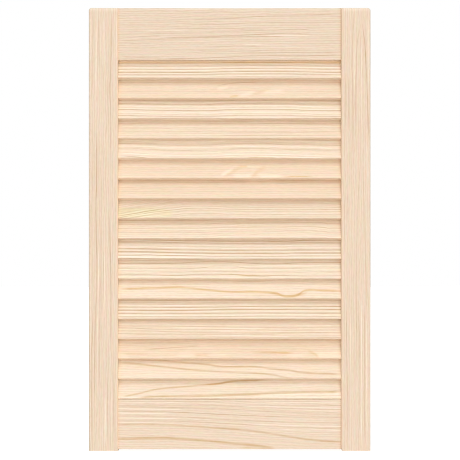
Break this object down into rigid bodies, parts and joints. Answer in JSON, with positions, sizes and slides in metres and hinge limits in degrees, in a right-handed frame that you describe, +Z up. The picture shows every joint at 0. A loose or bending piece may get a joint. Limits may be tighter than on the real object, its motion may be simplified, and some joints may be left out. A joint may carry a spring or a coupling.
{
  "type": "louvred cabinet door",
  "caption": "Flat framed cabinet door in bare softwood: two stiles and two rails hold a run of fixed slats that slope down to the front, letting air through.",
  "frame": {"origin": "under the middle of the door, on the plane that its feet stand on, half way through its thickness", "axes": "+X across the door to the right as seen from its front, +Y from the front to the back, +Z up"},
  "size_m": [0.394, 0.021, 0.62],
  "materials": {
    "pine_stile": "sanded, unfinished",
    "pine_rail": "sanded, unfinished",
    "pine_slat": "planed, unfinished",
    "beech_dowel": "turned, fluted"
  },
  "bodies": {
    "root": {"stile_left": "pine_stile", "stile_right": "pine_stile", "rail_top": "pine_rail", "rail_bottom": "pine_rail", "slat_01": "pine_slat", "slat_02": "pine_slat", "slat_03": "pine_slat", "slat_04": "pine_slat", "slat_05": "pine_slat", "slat_06": "pine_slat", "slat_07": "pine_slat", "slat_08": "pine_slat", "slat_09": "pine_slat", "slat_10": "pine_slat", "slat_11": "pine_slat", "slat_12": "pine_slat", "slat_13": "pine_slat", "slat_14": "pine_slat", "slat_15": "pine_slat", "slat_16": "pine_slat", "slat_17": "pine_slat", "dowel_top_left_upper": "beech_dowel", "dowel_top_left_lower": "beech_dowel", "dowel_bottom_left_upper": "beech_dowel", "dowel_bottom_left_lower": "beech_dowel", "dowel_top_right_upper": "beech_dowel", "dowel_top_right_lower": "beech_dowel", "dowel_bottom_right_upper": "beech_dowel", "dowel_bottom_right_lower": "beech_dowel"}
  },
  "joints": []
}
